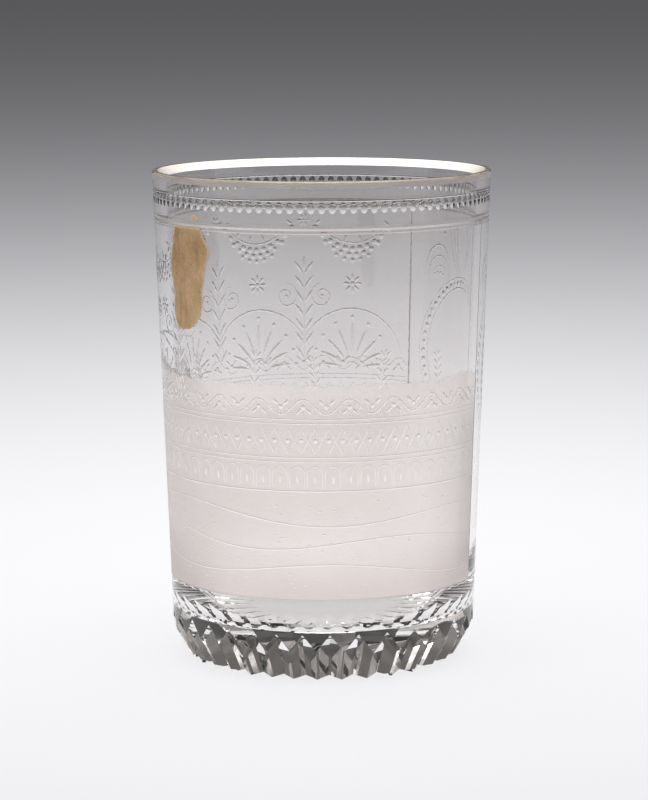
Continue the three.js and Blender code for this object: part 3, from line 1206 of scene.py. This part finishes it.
def torn_outline(outline, chance):
    """The outline with small tears between its corners, in mm."""
    points = []
    for (x1, y1), (x2, y2) in stretches(outline):
        span = hypot(x2 - x1, y2 - y1)
        steps = max(2, round(span / TEAR_SPACING))
        for i in range(steps):
            t = i / steps
            x, y = x1 + (x2 - x1) * t, y1 + (y2 - y1) * t
            wander = noise.noise(Vector((x * 0.9, y * 0.9, 3.1))) * 0.7 + chance.uniform(-0.08, 0.08)
            aside = min(t, 1 - t) * 2 * 0.8 * wander / span
            points.append((x + (y2 - y1) * aside, y - (x2 - x1) * aside))
    return points


def nearest_on(a, b, place):
    a, b = Vector(a), Vector(b)
    along = b - a
    t = max(0, min(1, (place - a).dot(along) / along.length_squared))
    return a + along * t


def edge_distance(place, outline):
    return min((place - nearest_on(a, b, place)).length for a, b in stretches(outline))


def paper_piece(name, outline, finish, seed, spacing=0.8, tear=0.7):
    """A sheet that follows the wall, thinner and slightly lifted along its torn fringe."""
    chance = random.Random(seed)
    edge = torn_outline(outline, chance)
    lows, highs = [min(p[i] for p in edge) for i in (0, 1)], [max(p[i] for p in edge) for i in (0, 1)]
    inside = []
    for i in range(ceil((highs[0] - lows[0]) / spacing) + 1):
        for k in range(ceil((highs[1] - lows[1]) / spacing) + 1):
            x = lows[0] + (i + chance.uniform(-0.2, 0.2)) * spacing
            y = lows[1] + (k + chance.uniform(-0.2, 0.2)) * spacing
            inside.append(Vector((x, y)))
    loop = list(range(len(edge)))
    flat, _, faces, *_ = delaunay_2d_cdt([Vector(p) for p in edge] + inside, [], [loop], 1, 1e-5)
    count = len(flat)
    points, torn = [], []
    for outer in (0, 1):
        for p in flat:
            fringe = max(0, 1 - edge_distance(p, edge) / tear)
            crease = 0.05 * noise.noise(Vector((p.x * 0.5, p.y * 0.5, 9.0)))
            lift = (0.10 * fringe ** 2 + crease + 0.03) * MM
            angle = LABEL_ANGLE + p.x * MM / RIM_RADIUS
            z = HEIGHT - p.y * MM
            thickness = PAPER_THICKNESS * (1 - 0.6 * fringe)
            r = wall_radius(z) + PAPER_GAP + lift + thickness * outer
            points.append((r * sin(angle), -r * cos(angle), z))
            torn.append(fringe)
    sides = dict.fromkeys(side for face in faces for side in stretches(face))
    shell = [tuple(face) for face in faces] + [tuple(v + count for v in reversed(face)) for face in faces]
    shell += [(b, a, a + count, b + count) for a, b in sides if (b, a) not in sides]
    mesh = closed_mesh(name, points, shell)
    mesh.attributes.new("torn", "FLOAT", "POINT").data.foreach_set("value", torn)
    mesh.shade_smooth()
    mesh.materials.append(finish)
    return new_object(name, mesh)


# Studio

def light_pool(tree):
    """The table's brightness: white round the beaker, falling to grey far away."""
    place = object_place(tree)
    offset = calc(tree, "SUBTRACT", place, (0, POOL_MIDDLE, 0), kind="ShaderNodeVectorMath")
    away = new_node(tree, "ShaderNodeVectorMath", {0: offset}, operation="LENGTH").outputs["Value"]
    behind = calc(tree, "MAXIMUM", axis_of(tree, place, "Y"), 0)
    limit = calc(tree, "MULTIPLY_ADD", behind, POOL_BACK_SLOPE, POOL_FRONT_LIMIT)
    away = calc(tree, "MINIMUM", away, limit)
    fall = calc(tree, "POWER", calc(tree, "DIVIDE", away, POOL_REACH), POOL_FALL)
    pool = calc(tree, "DIVIDE", 1, calc(tree, "ADD", fall, 1))
    return calc(tree, "MULTIPLY_ADD", pool, POOL_RISE, POOL_DARK)


def seen_directly(tree):
    """1 for the rays that show a picture of a thing: from the camera, a gloss or through glass."""
    path = new_node(tree, "ShaderNodeLightPath").outputs
    seen = calc(tree, "MAXIMUM", path["Is Camera Ray"], path["Is Glossy Ray"])
    return calc(tree, "MAXIMUM", seen, path["Is Transmission Ray"])


def floor():
    shape = bmesh.new()
    bmesh.ops.create_circle(shape, cap_ends=True, segments=96, radius=FLOOR_RADIUS)
    bmesh.ops.translate(shape, vec=(0, 0, -0.2 * MM), verts=shape.verts)
    mesh = bpy.data.meshes.new("floor")
    shape.to_mesh(mesh)
    shape.free()
    material, tree, matte = new_material("studio_table")
    level = light_pool(tree)
    tint = blend(tree, level, (0.945, 0.935, 1.0, 1), (0.985, 0.985, 1, 1))
    colour = add(tree, "ShaderNodeVectorMath", {0: tint, "Scale": level}, operation="SCALE")
    tree.links.new(colour, matte.inputs["Base Color"])
    matte.inputs["Roughness"].default_value = 0.9
    matte.inputs["Specular IOR Level"].default_value = 0
    glow = add(tree, "ShaderNodeEmission", {"Color": colour, "Strength": 1.0})
    share = calc(tree, "MULTIPLY", seen_directly(tree), TABLE_GLOW)
    mix = add(tree, "ShaderNodeMixShader", {0: share, 1: matte.outputs[0], 2: glow})
    tree.links.new(mix, tree.nodes["Material Output"].inputs["Surface"])
    made = new_object("floor", mesh)
    mesh.materials.append(material)


def world():
    """The studio, as the camera and the glass show it, and a plain soft light on all else."""
    made = bpy.data.worlds.new("studio")
    bpy.context.scene.world = made
    made.use_nodes = True
    tree = made.node_tree
    ray = new_node(tree, "ShaderNodeTexCoord").outputs["Generated"]
    ramp = new_node(tree, "ShaderNodeValToRGB", {0: axis_of(tree, ray, "Z")})
    stops = ramp.color_ramp.elements
    stops[0].position, stops[0].color = WORLD_STOPS[0]
    stops[1].position, stops[1].color = WORLD_STOPS[-1]
    for position, colour in WORLD_STOPS[1:-1]:
        stops.new(position).color = colour
    towards = calc(tree, "MAXIMUM", calc(tree, "MULTIPLY", axis_of(tree, ray, "Y"), -1), 0)

    def light(colour, gain, base):
        strength = calc(tree, "MULTIPLY_ADD", towards, gain, base)
        return add(tree, "ShaderNodeBackground", {"Color": colour, "Strength": strength})

    soft = light((1, 1, 1, 1), SOFT_GAIN, SOFT_LIGHT)
    seen = light(ramp.outputs[0], FRONT_GAIN, 1)
    mix = add(tree, "ShaderNodeMixShader", {0: seen_directly(tree), 1: soft, 2: seen})
    tree.links.new(mix, tree.nodes["World Output"].inputs["Surface"])


def softbox(name, place, target, size, power):
    light = bpy.data.lights.new(name, "AREA")
    light.shape = "RECTANGLE"
    light.size, light.size_y = size
    light.energy = power
    made = new_object(name, light)
    made.location = place
    made.rotation_euler = (Vector(target) - Vector(place)).to_track_quat("-Z", "Y").to_euler()


def camera():
    made = new_object("camera", bpy.data.cameras.new("camera"))
    made.data.lens = CAMERA_LENS
    made.data.sensor_width = 36
    made.data.clip_start = 10 * MM
    turn = Matrix.Rotation(-CAMERA_TURN, 4, "Z")
    pitch = Matrix.Rotation(pi / 2 - CAMERA_PITCH, 4, "X")
    roll = Matrix.Rotation(CAMERA_ROLL, 4, "Z")
    place = Matrix.Translation((0, -CAMERA_DISTANCE, CAMERA_HEIGHT))
    made.matrix_world = place @ turn @ pitch @ roll
    bpy.context.scene.camera = made


def studio():
    floor()
    world()
    camera()
    softbox("overhead_softbox", place=(0, 0.1, 1.3), target=(0, 0, 0), size=(1.2, 1.2), power=14)
    softbox("left_softbox", place=(-1.1, -0.6, 0.8), target=(0, 0, 0.05), size=(0.6, 0.9), power=2)
    scene = bpy.context.scene
    scene.view_settings.view_transform = "Standard"
    scene.cycles.max_bounces = 24
    scene.cycles.transmission_bounces = 24
    scene.cycles.transparent_max_bounces = 16


body = glass_body()
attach(body, "root")
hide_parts("beaker_glass")

brown_paper = aged_paper("aged_paper", (0.225, 0.138, 0.063), (0.40, 0.27, 0.15), (0.42, 0.30, 0.185))
label = paper_piece("label", LABEL_OUTLINE, brown_paper, seed=3)
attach(label, "root")
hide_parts("paper_label")

pale_paper = aged_paper("pale_paper", (0.30, 0.19, 0.10), (0.44, 0.31, 0.18), (0.5, 0.38, 0.25))
scrap = paper_piece("scrap", SCRAP_OUTLINE, pale_paper, seed=4, spacing=0.4, tear=0.3)
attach(scrap, "root")
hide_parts("label_scrap")

studio()
